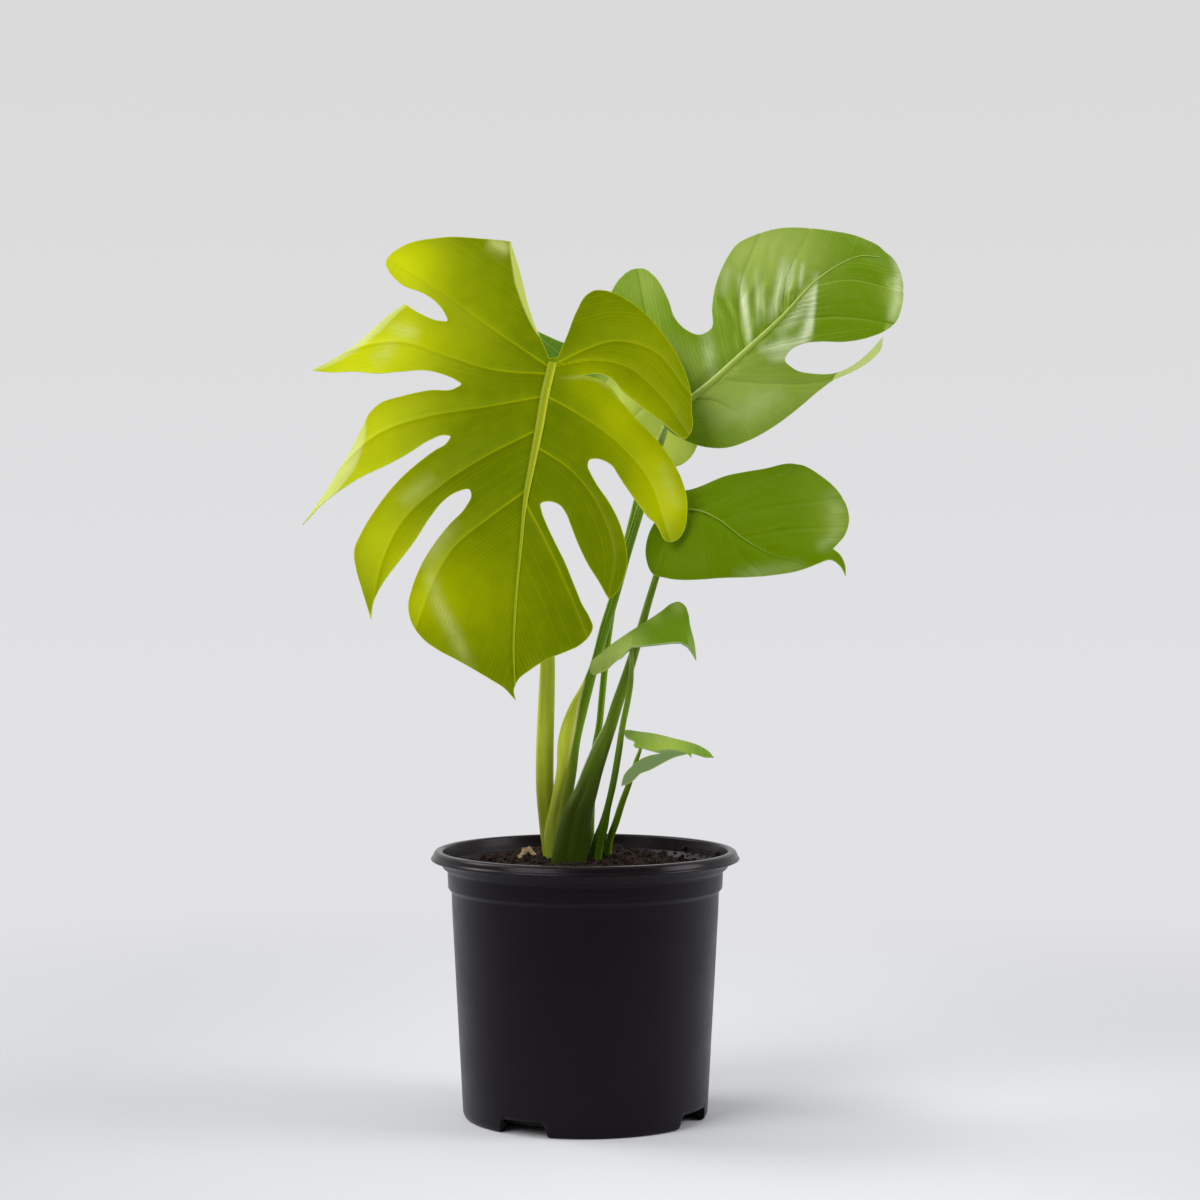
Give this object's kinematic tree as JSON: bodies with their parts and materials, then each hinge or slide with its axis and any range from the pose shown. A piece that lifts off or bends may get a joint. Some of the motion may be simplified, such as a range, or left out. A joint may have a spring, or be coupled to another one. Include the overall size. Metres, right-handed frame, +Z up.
{
  "type": "potted monstera plant",
  "caption": "Young monstera with split and whole glossy leaves on sheathed stalks, growing from soil in a round black nursery pot.",
  "frame": {"origin": "middle of the pot base, on the surface that the pot stands on", "axes": "+Z up along the pot axis; the big front leaf faces -Y"},
  "size_m": [0.5012, 0.2744, 0.7384],
  "materials": {
    "pot_plastic": "satin moulded polypropylene",
    "potting_soil": "dark crumbly potting mix",
    "bark": "dry rough bark",
    "stalk_olive": "smooth waxy plant tissue",
    "stalk_pale": "smooth waxy plant tissue",
    "stalk_green": "smooth waxy plant tissue",
    "blade_lime": "glossy leaf with paler veins",
    "blade_green": "glossy leaf with paler veins"
  },
  "bodies": {
    "root": {"pot": "pot_plastic", "soil": "potting_soil", "bark_chip": "bark", "stalk_front": "stalk_olive", "stalk_upper": "stalk_pale", "stalk_middle": "stalk_green", "stalk_back": "stalk_green", "stalk_small": "stalk_green", "stalk_lowest": "stalk_green", "leaf_front": "blade_lime", "leaf_upper": "blade_green", "leaf_middle": "blade_green", "leaf_back": "blade_green", "leaf_small": "blade_green", "leaf_lowest": "blade_green"}
  },
  "joints": []
}
